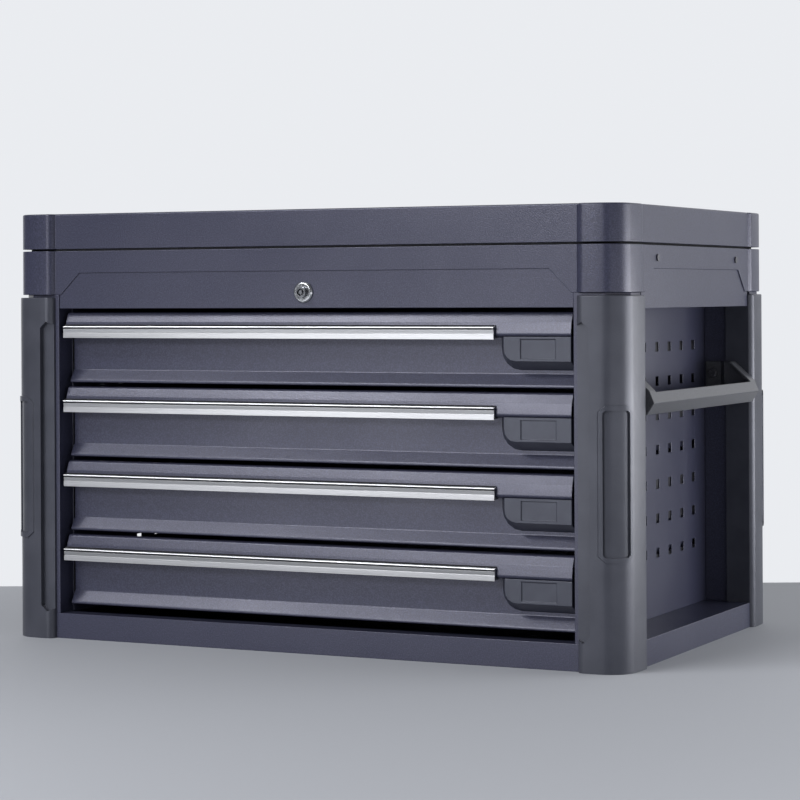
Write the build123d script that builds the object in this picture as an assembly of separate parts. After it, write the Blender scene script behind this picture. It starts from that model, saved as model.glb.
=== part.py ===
from build123d import *
from math import acos, atan2, cos, degrees, hypot, pi, radians, sin, sqrt
import os

# A four-drawer steel top chest with a hinged lid, moulded corner bumpers and side handles.
# Millimetres. X runs across the front, +Y runs to the back, Z goes up.
# The origin is on the floor under the middle of the chest.

# Cabinet: the drawer opening, the posts beside it and the depth over the flat sheet metal
# Cuts run past the outside by a length that is well clear of it
opening_width = 600.0
post_width = 53.0
body_depth = 436.0
sheet = 1.2
running_gap = 0.3
well_clear = 25.0
post_strip = 4.5
post_depth = 46.0
post_corner = 20.0

# Heights: the base rail, then the drawers, then the bands that stand on each other
rail_height = 27.2
lowest_gap = 9.7
drawer_count = 4
drawer_pitch = 80.3
crest_gap = 5.3
header_lap = 11.9
bumper_gap = 3.0
collar_height = 47.3
lid_gap = 2.2
lid_height = 38.0

# Square hole panels beside the drawers
hole_size = 10.0
hole_pitch_along = 38.0
hole_pitch_up = 36.5
hole_columns = 8
hole_rows = 7
hole_row_rise = 67.3

# Plan of a bulged corner: a crease, a rise to the crown, then three arcs round to the side
crown_rise = 8.5
crown_arc = 200.0
crown_turn = 5.5
side_fall = 7.0
side_reach = 51.0
metal_front_bulge = 6.0
metal_side_bulge = 2.5
bumper_front_bulge = 8.5
bumper_side_bulge = 5.0

# Moulded corner bumpers
bumper_wall = 3.0
bumper_rib = 2.5
bumper_rib_count = 1
bumper_return = 26.5
pocket_width = 14.5
pocket_floor = 2.5
pocket_end = 29.0
pocket_top_end = 26.0
pocket_point = 6.5
frame_bottom = 108.5
frame_height = 153.0
frame_width = 35.0
frame_border = 5.0
frame_proud = 1.5
frame_corner = 6.0
plate_sunk = 1.0

# Collar, header and the shallow compartment under the lid
collar_cut_height = 23.5
collar_cut_inset = 26.0
collar_cut_side_inset = 85.0
rim_width = 18.0
front_channel = 26.0
header_flange = 20.0
tray_depth = 31.3
tray_corner = 30.0
collar_screw_inset = 95.0
collar_screw_drop = 12.8
collar_screw_radius = 3.5
collar_screw_head = 1.4

# Lid
lid_hem = 10.0
catch_width = 12.0
catch_start = 13.0
catch_set_back = 12.0
catch_lip = 7.0
catch_drop = 9.5
catch_slot_side = 2.5
catch_slot_front = 6.0

# Long hinge on the back: its axis clears the bulged rear corners
hinge_axis_out = 5.8
hinge_knuckle = 2.7
hinge_pin_radius = 1.5
hinge_pin_clear = 0.05
hinge_inset = 20.0
hinge_knuckles = 5
hinge_leaf = 14.0
hinge_knuckle_gap = 0.4

# Gas struts inside the compartment
strut_inset = 31.0
strut_foot_from_front = 95.0
strut_foot_drop = 13.8
strut_head_from_hinge = 110.0
strut_head_rise = 16.5
strut_tube_radius = 7.5
strut_rod_radius = 4.0
strut_eye_radius = 6.5
strut_eye_width = 6.0
strut_stud_radius = 3.0
strut_stud_clear = 0.1
strut_tube_end = 55.0

# Lock on the header, its long shaft and the bar behind the drawers
lock_rise = 16.4
lock_ring_radius = 11.0
lock_ring_proud = 3.0
lock_body_radius = 9.5
lock_body_length = 17.0
barrel_radius = 5.6
barrel_proud = 7.5
barrel_bore = 3.8
barrel_bore_depth = 6.0
barrel_pin = 2.0
barrel_clear = 0.1
shaft_radius = 3.0
cam_reach = 18.0
cam_width = 9.0
cam_thickness = 2.0
crank_radius = 8.0
crank_pin_radius = 2.0
crank_pin_length = 6.0
lock_turn = 90.0
lock_bar_width = 30.0
lock_bar_thickness = 2.0
lock_bar_from_back = 10.0
lock_slot_clear = 0.6
lock_slot_length = 20.0
lock_finger_width = 8.0
lock_finger_reach = 15.0
lock_catch_reach = 12.0
lock_catch_hole = 2.0
lock_catch_gap = 3.0
guide_height = 14.0
guide_gap = 10.0

# Drawers, counted from the top; heights are from the lower edge of the grip strip
drawer_sheet = 1.0
front_side_gap = 4.7
nose_set_back = 4.5
crest_set_back = 11.0
face_set_back = 22.7
hem_set_back = 16.8
crest_rise = 26.5
crest_back_drop = 4.0
nose_rise = 18.0
nose_bottom_rise = 3.0
face_drop = 33.0
hem_drop = 45.0
hem_end_drop = 47.5
hem_return = 4.8
box_back_gap = 34.3
box_rise = 14.0
box_drop = 44.0
box_hem = 4.0

# Aluminium grip strip clipped over the nose, and the label holder beside it
grip_height = 13.5
grip_set_back = 2.0
grip_wall = 1.8
grip_lip = 1.6
grip_hook = 7.0
grip_groove_depth = 0.9
grip_groove = 1.4
grip_short_end = 81.3
label_inset = 72.5
label_drop = 21.5
label_set_back = 5.5
label_round = 12.0
label_round_steps = 4
label_skirt = 9.5
label_chamfer = 1.6
label_window_inset = 54.3
label_window_width = 37.7
label_window_drop = 19.0
label_window_depth = 1.2
label_play = 0.3

# Telescopic slides: three nested steel channels
slide_thickness = 12.7
slide_height = 45.0
slide_back_gap = 37.0
slide_drop = 14.0
slide_set_back = 25.0
slide_sheet = 1.2
ball_room = 3.2
slide_lip = 9.0
middle_web_out = 4.6
inner_lip = 7.0

# Pressed side handles, bolted to the posts; heights are from the handle's upper edge
handle_from_top = 74.5
handle_proud = 12.0
handle_flat_back = 27.0
handle_slope_back = 5.0
handle_slope_drop = 20.5
handle_nose_drop = 32.5
handle_bottom_back = 8.0
handle_drop = 44.5
handle_sheet = 2.5
handle_foot_start = 2.5
handle_lip = 17.0
handle_screw_drop = 13.0
handle_screw_out = 11.0
washer_radius = 6.5
washer_thickness = 1.2
screw_head_radius = 5.0
screw_head_height = 2.6
socket_radius = 2.0
socket_depth = 1.6
socket_sides = 6
head_edge = 0.9

# Small hidden rounds are drawn with a few flat sides, hidden inner walls with a few straight runs
few_sides = 12
more_sides = 16
ring_sides = 32
inner_runs = (2, 1, 4, 1, 2)

# Values worked out from the sizes above: across and along the chest
opening_half = opening_width / 2
side = opening_half + post_width
body_width = side * 2
front = -body_depth / 2
back = body_depth / 2
crease = opening_half + post_strip
panel_face = opening_half - sheet
header_front = front + sheet
hinge_y = back + hinge_axis_out
hinge_half = opening_half - hinge_inset
post_inner = front + post_depth
drawer_half = panel_face - slide_thickness
front_half = opening_half - front_side_gap
box_front = front + face_set_back + drawer_sheet
box_back = back - box_back_gap
slide_length = body_depth - slide_back_gap - slide_set_back
tray_front = front + front_channel
tray_half = side - sheet * 2
strut_side = side - strut_inset
cut_half = opening_half - collar_cut_inset
cut_side_half = back - collar_cut_side_inset
collar_screw_reach = back - collar_screw_inset
grip_right_end = front_half - grip_short_end
label_left = front_half - label_inset
label_window_left = front_half - label_window_inset
handle_nose_reach = side + handle_proud
handle_flat_reach = handle_nose_reach - handle_flat_back
handle_slope_reach = handle_nose_reach - handle_slope_back
handle_bottom_reach = handle_nose_reach - handle_bottom_back

# Heights worked out, from the floor up
top_grip_bottom = rail_height + lowest_gap + hem_end_drop + (drawer_count - 1) * drawer_pitch
header_bottom = top_grip_bottom + crest_rise + crest_gap
bumper_height = header_bottom + header_lap
collar_bottom = bumper_height + bumper_gap
collar_top = collar_bottom + collar_height
lid_bottom = collar_top + lid_gap
lid_top = lid_bottom + lid_height
hinge_z = collar_top + lid_gap / 2
tray_floor = collar_top - tray_depth
collar_screw_height = collar_top - collar_screw_drop
strut_foot_height = collar_top - strut_foot_drop
strut_head_height = lid_bottom + strut_head_rise
lock_height = header_bottom + lock_rise
catch_bottom = lock_height - catch_drop
pocket_top = bumper_height - pocket_top_end
lowest_hole_row = rail_height + hole_row_rise
handle_top = bumper_height - handle_from_top
handle_slope_height = handle_top - handle_slope_drop
handle_nose_height = handle_top - handle_nose_drop
handle_bottom = handle_top - handle_drop
handle_screw_height = handle_top - handle_screw_drop


def block(x0, x1, y0, y1, z0, z1):
    """A plain block between two corners."""
    centre = Pos((x0 + x1) / 2, (y0 + y1) / 2, (z0 + z1) / 2)
    return centre * Box(abs(x1 - x0), abs(y1 - y0), abs(z1 - z0))


def plate_xz(points, y0, y1):
    """A flat piece drawn in the front view, from one depth to another."""
    outline = make_face(Polyline(*[(x, 0, z) for x, z in points], close=True))
    return Pos(0, y1, 0) * extrude(outline, y1 - y0, dir=(0, -1, 0))


def bar_yz(points, x0, x1):
    """A section drawn in the side view, drawn out along X."""
    outline = make_face(Polyline(*[(0, y, z) for y, z in points], close=True))
    return Pos(x0, 0, 0) * extrude(outline, x1 - x0, dir=(1, 0, 0))


def rod(start, end, radius):
    """A round bar from one point to another."""
    along = Vector(*end) - Vector(*start)
    plane = Plane(origin=start, z_dir=along)
    return extrude(plane * Circle(radius), along.length)


def prism(start, end, radius, sides):
    """A bar with a few flat sides from one point to another."""
    along = Vector(*end) - Vector(*start)
    plane = Plane(origin=start, z_dir=along)
    return extrude(plane * RegularPolygon(radius, sides), along.length)


def clear_hole(start, end, radius):
    """A hole with flat sides that stays clear of a bar of one radius all round."""
    return prism(start, end, radius / cos(pi / more_sides), more_sides)


def fold_section(points, thickness):
    """The outline of sheet folded along a line; a positive thickness lies to the line's left."""
    far_side = []
    for place, (u, v) in enumerate(points):
        legs = []
        for first in (place - 1, place):
            if 0 <= first < len(points) - 1:
                step_u = points[first + 1][0] - points[first][0]
                step_v = points[first + 1][1] - points[first][1]
                length = hypot(step_u, step_v)
                legs.append((-step_v / length, step_u / length))
        normal_u = legs[0][0] + legs[-1][0]
        normal_v = legs[0][1] + legs[-1][1]
        meeting = 1 + legs[0][0] * legs[-1][0] + legs[0][1] * legs[-1][1]
        far_side.append((u + normal_u * thickness / meeting, v + normal_v * thickness / meeting))
    return points + far_side[::-1]


def inside_plan(front_bulge, side_bulge, inset):
    """The hidden inner outline of a bulged wall, drawn with a few straight runs at each corner."""
    edges, start, end = corner_line(front_bulge, side_bulge, inset)
    corner = [(start[0], start[1])]
    for edge, runs in zip(edges, inner_runs):
        for run in range(1, runs + 1):
            point = edge @ (run / runs)
            corner.append((point.X, point.Y))
    back_right = [(x, -y) for x, y in corner[::-1]]
    right = corner + back_right
    left = [(-x, y) for x, y in right[::-1]]
    return make_face(Polyline(*(right + left), close=True))


def cut_rectangle(width, height, cut):
    """A rectangle with its four corners cut off at 45 degrees."""
    u, v = width / 2, height / 2
    outline = [(u - cut, -v), (u, -v + cut), (u, v - cut), (u - cut, v),
               (-u + cut, v), (-u, v - cut), (-u, -v + cut), (-u + cut, -v)]
    return make_face(Polyline(*outline, close=True))


def both_sides(shape):
    """The shape and its mirror image across the middle."""
    return shape + mirror(shape, about=Plane.YZ)


def turned_arc(start, from_angle, to_angle, radius):
    """An arc that starts at a point and turns; angles are of its outward normal, 0 facing front."""
    a, b = radians(from_angle), radians(to_angle)
    centre_x = start[0] - radius * sin(a)
    centre_y = start[1] + radius * cos(a)
    middle = (a + b) / 2
    mid = (centre_x + radius * sin(middle), centre_y - radius * cos(middle))
    end = (centre_x + radius * sin(b), centre_y - radius * cos(b))
    return ThreePointArc(start, mid, end), end


def corner_line(front_bulge, side_bulge, inset):
    """The bulged front right corner in plan, from its front crease to its side crease."""
    rise_radius = (crown_rise ** 2 + front_bulge ** 2) / (2 * front_bulge)
    fall_radius = (side_fall ** 2 + side_bulge ** 2) / (2 * side_bulge)
    rise_drop = (rise_radius - front_bulge - inset) / (rise_radius - inset)
    fall_drop = (fall_radius - side_bulge - inset) / (fall_radius - inset)
    rise_angle = degrees(acos(rise_drop))
    fall_angle = degrees(acos(fall_drop))
    # the corner arc and the side arc share the turn that is left and end on the side crown
    leaving = radians(90 - crown_turn)
    turning = radians(crown_turn)
    across = sin(leaving) - sin(turning)
    along = cos(turning) - cos(leaving)
    rest_x = 1 - sin(leaving)
    rest_y = cos(leaving)
    room_x = side + side_bulge - crease - crown_rise - crown_arc * sin(turning)
    room_y = side_reach - side_fall + front_bulge - crown_arc * (1 - cos(turning))
    share = across * rest_y - rest_x * along
    corner_radius = (room_x * rest_y - rest_x * room_y) / share
    flank_radius = (across * room_y - along * room_x) / share
    rise_centre = (crease + crown_rise, front - front_bulge + rise_radius)
    start_x = rise_centre[0] - (rise_radius - inset) * sin(radians(rise_angle))
    start = (start_x, front + inset)
    turns = [
        (-rise_angle, 0, rise_radius),
        (0, crown_turn, crown_arc),
        (crown_turn, 90 - crown_turn, corner_radius),
        (90 - crown_turn, 90, flank_radius),
        (90, 90 + fall_angle, fall_radius),
    ]
    edges = []
    place = start
    for from_angle, to_angle, radius in turns:
        arc, place = turned_arc(place, from_angle, to_angle, radius - inset)
        edges.append(arc.edge())
    return edges, start, place


def bulged_plan(front_bulge, side_bulge, inset=0):
    """The whole plan outline, four flat faces and four bulged corners, moved in by an inset."""
    right_front, start, end = corner_line(front_bulge, side_bulge, inset)
    left_front = [edge.mirror(Plane.YZ) for edge in right_front]
    right_back = [edge.mirror(Plane.XZ) for edge in right_front]
    left_back = [edge.mirror(Plane.XZ) for edge in left_front]
    flats = [
        Edge.make_line((-start[0], start[1]), start),
        Edge.make_line((-start[0], -start[1]), (start[0], -start[1])),
        Edge.make_line((-end[0], end[1]), (-end[0], -end[1])),
        Edge.make_line(end, (end[0], -end[1])),
    ]
    return make_face(Wire(right_front + left_front + right_back + left_back + flats))


def straight_plan(inset):
    """The plan of the flat metal planes, moved in, with the corners folded off at 45 degrees."""
    cut = post_corner - inset * (2 - sqrt(2))
    return cut_rectangle(body_width - 2 * inset, body_depth - 2 * inset, cut)


def slab(plan, z0, z1):
    """A plan face drawn up between two heights."""
    return Pos(0, 0, z0) * extrude(plan, z1 - z0, dir=(0, 0, 1))


def base_pan():
    """The folded bottom: a floor, four low walls and the ledges that the posts stand on."""
    outer = slab(straight_plan(0), 0, rail_height)
    hollow = slab(straight_plan(sheet), sheet, rail_height - sheet)
    mouth = block(-opening_half + sheet, opening_half - sheet, front + header_flange, back - header_flange,
                  sheet, rail_height + sheet)
    return outer - hollow - mouth


def corner_post():
    """The front right post: a closed folded section that stands on the base."""
    outline = block(opening_half, side, front, post_inner, rail_height, collar_bottom)
    corner = outline.edges().filter_by(Axis.Z).sort_by(Axis.X)[-2:].sort_by(Axis.Y)[:1]
    outline = chamfer(corner, post_corner)
    core = block(opening_half + sheet, side - sheet, front + sheet, post_inner - sheet,
                 rail_height, collar_bottom)
    corner = core.edges().filter_by(Axis.Z).sort_by(Axis.X)[-2:].sort_by(Axis.Y)[:1]
    core = chamfer(corner, post_corner - sheet * (2 - sqrt(2)))
    return outline - core


def side_panel():
    """The right side sheet: square holes below, folded out and up behind the collar."""
    fold_z = header_bottom
    outer_x = side - sheet
    line = [
        (panel_face, rail_height),
        (panel_face, fold_z),
        (outer_x - sheet, fold_z),
        (outer_x - sheet, collar_top - sheet),
    ]
    reach = back - side_reach
    sheet_solid = plate_xz(fold_section(line, -sheet), -reach, reach)
    wings = block(panel_face, opening_half, front + slide_set_back, back - header_flange,
                  rail_height, header_bottom)
    long_top = block(outer_x - sheet, outer_x, front + sheet * 2 + post_corner,
                     back - sheet * 2 - post_corner, collar_bottom, collar_top - sheet)
    solid = sheet_solid + wings + long_top
    first_hole = -hole_pitch_along * (hole_columns - 1) / 2
    holes = [
        Pos(panel_face, first_hole + column * hole_pitch_along, lowest_hole_row + row * hole_pitch_up)
        * Box(sheet * 4, hole_size, hole_size)
        for column in range(hole_columns)
        for row in range(hole_rows)
    ]
    return solid - holes


def front_header():
    """The fascia over the drawers: its lower edge is folded in and its ends run behind the collar."""
    line = [
        (header_front, collar_top - sheet),
        (header_front, header_bottom),
        (header_front + header_flange, header_bottom),
    ]
    lower = bar_yz(fold_section(line, sheet), -opening_half, opening_half)
    wing_end = side - sheet - post_corner
    wings = block(-wing_end, wing_end, header_front, header_front + sheet, collar_bottom, collar_top - sheet)
    hole = clear_hole((0, header_front - sheet, lock_height), (0, header_front + sheet * 2, lock_height),
                      lock_body_radius)
    return lower + wings - hole


def rear_panel():
    """The back sheet, with the guides of the lock bar welded inside it."""
    plate = block(-opening_half, opening_half, back - sheet, back, rail_height, collar_bottom)
    lap = block(-opening_half, opening_half, back - sheet * 2, back - sheet,
                collar_bottom - header_flange, collar_bottom)
    wing_end = side - sheet - post_corner
    upper = block(-wing_end, wing_end, back - sheet * 2, back - sheet, collar_bottom, collar_top - sheet)
    solid = plate + lap + upper
    bar_y = back - lock_bar_from_back
    inner = back - sheet * 2
    half = lock_bar_width / 2
    wall = sheet
    for number in (1, drawer_count):
        guide_z = finger_leg_top(number) - lock_bar_thickness - guide_gap - guide_height
        cage = block(-half - wall * 2, half + wall * 2, bar_y - running_gap - wall, back - sheet,
                     guide_z, guide_z + guide_height)
        room = block(-half - running_gap, half + running_gap, bar_y - running_gap, back - sheet,
                     guide_z, guide_z + guide_height)
        solid = solid + (cage - room)
    # the strap that carries the back end of the lock shaft
    strap_y = bar_y - crank_pin_length - cam_thickness
    strap = block(-half - wall * 2, -half - wall, strap_y - wall, inner, lock_height - cam_width,
                  lock_height + cam_width)
    face = block(-half - wall * 2, shaft_radius * 2, strap_y - wall, strap_y, lock_height - cam_width,
                 lock_height + cam_width)
    bearing = clear_hole((0, strap_y - wall * 2, lock_height), (0, strap_y + wall, lock_height),
                         shaft_radius + barrel_clear)
    return solid + strap + face - bearing


def rib_plan():
    """The outline of a bumper's rib: flat against the metal, its outer side inside the moulded wall."""
    edges, _, end = corner_line(bumper_front_bulge, bumper_side_bulge, bumper_wall / 2)
    start_x = crease + pocket_width + bumper_wall / 2
    curve = [edges[1] @ 1, edges[2] @ (1 / 3), edges[2] @ (2 / 3), edges[3] @ 0, edges[3] @ 1]
    outer_side = [(start_x, (edges[1] @ 0).Y)] + [(point.X, point.Y) for point in curve]
    metal_side = [(side, end[1]), (side, front + post_corner), (side - post_corner, front), (start_x, front)]
    return make_face(Polyline(*(outer_side + metal_side), close=True))


def corner_bumper():
    """The front right bumper: a ribbed shell over the post, with a long pocket and a framed plate."""
    plan = bulged_plan(bumper_front_bulge, bumper_side_bulge)
    inner_plan = inside_plan(bumper_front_bulge, bumper_side_bulge, bumper_wall)
    far = side + well_clear
    corner_room = block(crease, far, front - well_clear, front + side_reach, 0, bumper_height)
    metal = slab(straight_plan(0), 0, bumper_height)
    moulding = slab(plan, 0, bumper_height)
    hollow = slab(inner_plan, bumper_wall, bumper_height - bumper_wall)
    beside_pocket = block(crease + pocket_width + bumper_wall, far, front - well_clear,
                          front + side_reach, 0, bumper_height)
    shell = ((moulding - metal) & corner_room) - (hollow & beside_pocket)
    rib_step = bumper_height / (bumper_rib_count + 1)
    for rib in range(bumper_rib_count):
        rib_z = rib_step * (rib + 1)
        shell = shell + slab(rib_plan(), rib_z, rib_z + bumper_rib)
    leg = block(side - bumper_return, side, post_inner, front + side_reach, rail_height, bumper_height)
    lap = block(side, side + bumper_side_bulge / 2, post_inner, front + side_reach, 0, bumper_height)
    shell = shell + leg + (lap & slab(plan, 0, bumper_height))
    # the pocket has pointed ends and is open towards the drawers
    inner_x = crease - pocket_point
    outer_x = crease + pocket_width
    tip_x = crease + pocket_width / 2
    pocket = plate_xz(
        [(tip_x, pocket_end), (outer_x, pocket_end + pocket_point),
         (outer_x, pocket_top - pocket_point), (tip_x, pocket_top),
         (inner_x, pocket_top - pocket_point), (inner_x, pocket_end + pocket_point)],
        front - well_clear, front - pocket_floor)
    shell = shell - pocket
    return name_frame(shell, plan)


def name_frame(shell, plan):
    """A raised frame round a bare sunken plate, pressed on the corner along its diagonal."""
    grown = bulged_plan(bumper_front_bulge, bumper_side_bulge, -frame_proud)
    shrunk = bulged_plan(bumper_front_bulge, bumper_side_bulge, plate_sunk)
    middle = Vector(side - frame_width / 2, front + frame_width / 4, frame_bottom + frame_height / 2)
    looking = Plane(origin=middle, x_dir=(1, 1, 0), z_dir=(1, -1, 0))
    slant = cos(pi / 4)
    inner_width = frame_width - 2 * frame_border * slant
    inner_height = frame_height - 2 * frame_border
    outer_face = looking * cut_rectangle(frame_width, frame_height, frame_corner)
    inner_face = looking * cut_rectangle(inner_width, inner_height, frame_corner - frame_border * slant)
    reach = frame_width * 2
    outer_prism = extrude(outer_face, reach, dir=(1, -1, 0))
    inner_prism = extrude(inner_face, reach, dir=(1, -1, 0))
    ring = slab(grown, frame_bottom, frame_bottom + frame_height) - slab(plan, 0, bumper_height)
    sunk = slab(plan, 0, bumper_height) - slab(shrunk, 0, bumper_height)
    return shell + ((ring & outer_prism) - inner_prism) - (sunk & inner_prism)


def trapezoid_cuts():
    """The sloped-end cut-outs in the lower edge of the collar, on all four faces."""
    top = collar_bottom + collar_cut_height
    low = collar_bottom - sheet
    spread = collar_cut_height + sheet
    wide = cut_half
    through = plate_xz(
        [(-wide - spread, low), (-wide, top), (wide, top), (wide + spread, low)],
        front - metal_front_bulge, back + metal_front_bulge)
    half = cut_side_half
    across = bar_yz(
        [(-half - spread, low), (-half, top), (half, top), (half + spread, low)],
        -side - metal_side_bulge, side + metal_side_bulge)
    return through + across


def collar():
    """The band round the top: bulged corners, sloped cut-outs and a rim folded in over the tray."""
    plan = bulged_plan(metal_front_bulge, metal_side_bulge)
    inner_plan = inside_plan(metal_front_bulge, metal_side_bulge, sheet)
    band = slab(plan, collar_bottom, collar_top)
    band = band - slab(inner_plan, collar_bottom, collar_top - sheet)
    mouth = block(-side + rim_width, side - rim_width, tray_front, back - rim_width,
                  collar_bottom, collar_top)
    band = band - mouth - trapezoid_cuts()
    catch_y = header_front + catch_set_back
    slot = block(catch_start - catch_slot_side, catch_start + catch_width + catch_slot_side,
                 catch_y - catch_slot_front, catch_y + sheet + catch_lip + catch_slot_side,
                 collar_top - sheet * 2, collar_top)
    return band - slot


def top_tray():
    """The shallow compartment under the lid, set back at the front to leave room for the lock."""
    top = collar_top - sheet
    outer = block(-tray_half, tray_half, tray_front - sheet, back - sheet * 2, tray_floor, top)
    inner = block(-tray_half + sheet, tray_half - sheet, tray_front, back - sheet * 3,
                  tray_floor + sheet, top)
    outer = fillet(outer.edges().filter_by(Axis.Z), tray_corner)
    inner = fillet(inner.edges().filter_by(Axis.Z), tray_corner - sheet)
    return outer - inner


def lid():
    """The lid: a deep pressed pan with the bulged corners of the collar and a hem folded in."""
    plan = bulged_plan(metal_front_bulge, metal_side_bulge)
    inner_plan = inside_plan(metal_front_bulge, metal_side_bulge, sheet)
    solid = slab(plan, lid_bottom, lid_top)
    room = slab(inner_plan, lid_bottom + sheet, lid_top - sheet)
    mouth = slab(straight_plan(lid_hem), lid_bottom, lid_bottom + sheet)
    return solid - room - mouth


def lid_catch():
    """The hooked strip behind the fascia that the lock's cam holds down."""
    y = header_front + catch_set_back
    right = catch_start + catch_width
    strip = block(catch_start, right, y, y + sheet, catch_bottom, lid_bottom + sheet)
    lip = block(catch_start, right, y, y + sheet + catch_lip, catch_bottom, catch_bottom + sheet)
    foot = block(catch_start, right, header_front, y + sheet, lid_bottom + sheet, lid_bottom + 2 * sheet)
    return strip + lip + foot


def knuckles(first, count_from):
    """Every second knuckle of the long hinge, bored for the pin."""
    pitch = hinge_half * 2 / hinge_knuckles
    start = -hinge_half
    tubes = None
    for place in range(count_from, hinge_knuckles, 2):
        x0 = start + place * pitch + hinge_knuckle_gap / 2
        x1 = start + (place + 1) * pitch - hinge_knuckle_gap / 2
        tube = prism((x0, hinge_y, hinge_z), (x1, hinge_y, hinge_z), hinge_knuckle, few_sides)
        web = bar_yz(first, x0, x1)
        tubes = tube + web if tubes is None else tubes + tube + web
    bore = clear_hole((start, hinge_y, hinge_z), (-start, hinge_y, hinge_z),
                      hinge_pin_radius + hinge_pin_clear)
    return tubes - bore


def hinge_leaf_solid(direction, count_from):
    """One leaf: flat on the back sheet, then cranked out to its knuckles."""
    near = hinge_z + direction * (hinge_knuckle + sheet * 2)
    far = near + direction * hinge_leaf
    flat = block(-hinge_half, hinge_half, back, back + sheet, near, far)
    web = [(back, near + direction * sheet), (back, near),
           (hinge_y, hinge_z + direction * hinge_pin_radius),
           (hinge_y, hinge_z + direction * hinge_knuckle)]
    return flat + knuckles(web, count_from)


def hinge_pin():
    """The long pin of the lid hinge."""
    return rod((-hinge_half, hinge_y, hinge_z), (hinge_half, hinge_y, hinge_z), hinge_pin_radius)


def strut_foot_y():
    return front + strut_foot_from_front


def strut_line():
    """Length and angle of the closed strut, from its foot to its head."""
    along = hinge_y - strut_head_from_hinge - strut_foot_y()
    up = strut_head_height - strut_foot_height
    return hypot(along, up), degrees(atan2(up, along))


def on_strut(shape):
    """Moves a strut piece from its own line, along +Y from the foot, to its place in the chest."""
    _, angle = strut_line()
    return Pos(strut_side, strut_foot_y(), strut_foot_height) * Rot(X=angle) * shape


def strut_eye(y):
    """The flat eye at one end of a strut."""
    half = strut_eye_width / 2
    eye = prism((-half, y, 0), (half, y, 0), strut_eye_radius, few_sides)
    return eye - clear_hole((-half, y, 0), (half, y, 0), strut_stud_radius + strut_stud_clear)


def strut_bore_start():
    return strut_eye_radius + strut_tube_radius


def strut_tube():
    """The cylinder of a gas strut with its lower eye."""
    length, _ = strut_line()
    tube_end = length - strut_tube_end
    body = rod((0, strut_eye_radius - sheet, 0), (0, tube_end, 0), strut_tube_radius)
    bore = rod((0, strut_bore_start(), 0), (0, tube_end, 0), strut_rod_radius + running_gap)
    eye = strut_eye(0)
    return on_strut(body + eye - bore)


def strut_rod():
    """The piston rod of a gas strut with its upper eye."""
    length, _ = strut_line()
    start = strut_bore_start() + running_gap
    eye = strut_eye(length)
    return on_strut(rod((0, start, 0), (0, length - strut_eye_radius + sheet, 0), strut_rod_radius) + eye)


def strut_foot_stud():
    """The lower stud of a strut: a plate on the tray wall and a pin through the eye."""
    wall = tray_half - sheet
    y, z = strut_foot_y(), strut_foot_height
    plate = block(wall - sheet, wall, y - strut_eye_radius, y + strut_eye_radius,
                  z - strut_eye_radius, z + strut_eye_radius)
    pin = prism((strut_side - strut_eye_width / 2, y, z), (wall - sheet, y, z),
                strut_stud_radius, more_sides)
    return plate + pin


def strut_head_stud():
    """The upper stud of a strut: an angle under the lid and a short pin beside the eye."""
    y, z = hinge_y - strut_head_from_hinge, strut_head_height
    eye_face = strut_side + strut_eye_width / 2 + running_gap
    hang = eye_face + strut_stud_radius
    plate = block(hang, hang + sheet * 2, y - strut_eye_radius, y + strut_eye_radius,
                  z - strut_eye_radius, lid_top - sheet)
    flange = block(hang - strut_eye_radius * 2, hang + sheet * 2, y - strut_eye_radius,
                   y + strut_eye_radius, lid_top - sheet * 3, lid_top - sheet)
    pin = prism((eye_face, y, z), (hang, y, z), strut_stud_radius, more_sides)
    return plate + flange + pin


def lock_housing():
    """The fixed case of the lock: a ring on the fascia and a round body behind it."""
    face = header_front - lock_ring_proud
    ring = prism((0, header_front, lock_height), (0, face, lock_height), lock_ring_radius, ring_sides)
    ring = chamfer(ring.faces().sort_by(Axis.Y)[0].edges(), lock_ring_proud / 2)
    body = prism((0, header_front, lock_height), (0, header_front + lock_body_length, lock_height),
                 lock_body_radius - barrel_clear, more_sides)
    bore = rod((0, face, lock_height), (0, header_front + lock_body_length, lock_height),
               barrel_radius + barrel_clear)
    return ring + body - bore


def crank_pin_place():
    """The crank pin at rest, below and to the left of the shaft."""
    reach = crank_radius * sin(radians(lock_turn / 2))
    return -reach, lock_height - reach


def lock_barrel():
    """The keyed barrel, the cam behind it, the long shaft to the back and its crank."""
    face = header_front - barrel_proud
    body_end = header_front + lock_body_length
    barrel = rod((0, face, lock_height), (0, body_end + running_gap, lock_height), barrel_radius)
    keyway = rod((0, face, lock_height), (0, face + barrel_bore_depth, lock_height), barrel_bore)
    centre_pin = prism((0, face, lock_height), (0, face + barrel_bore_depth, lock_height),
                       barrel_pin, more_sides)
    cam_y = body_end + running_gap
    cam = block(-cam_width / 2, cam_width / 2, cam_y, cam_y + cam_thickness,
                lock_height - cam_width / 2, lock_height + cam_reach)
    crank_y = back - lock_bar_from_back - running_gap - cam_thickness
    shaft = prism((0, cam_y, lock_height), (0, crank_y + cam_thickness, lock_height),
                  shaft_radius, more_sides)
    pin_x, pin_z = crank_pin_place()
    arm_middle = (pin_x / 2, crank_y, (lock_height + pin_z) / 2)
    arm_plane = Plane(origin=arm_middle, x_dir=(1, 0, 1), z_dir=(0, 1, 0))
    arm_width = (crank_pin_radius + sheet) * 2
    arm = extrude(arm_plane * Rectangle(crank_radius + arm_width, arm_width), cam_thickness)
    pin = prism((pin_x, crank_y, pin_z), (pin_x, crank_y + cam_thickness + crank_pin_length, pin_z),
                crank_pin_radius, more_sides)
    return barrel - keyway + centre_pin + cam + shaft + arm + pin


def lock_travel():
    """How far the crank lifts the bar."""
    return 2 * crank_radius * sin(radians(lock_turn / 2))


def grip_bottom(number):
    """Height of the lower edge of a drawer's grip strip, drawers counted from the top."""
    return top_grip_bottom - (number - 1) * drawer_pitch


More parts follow.
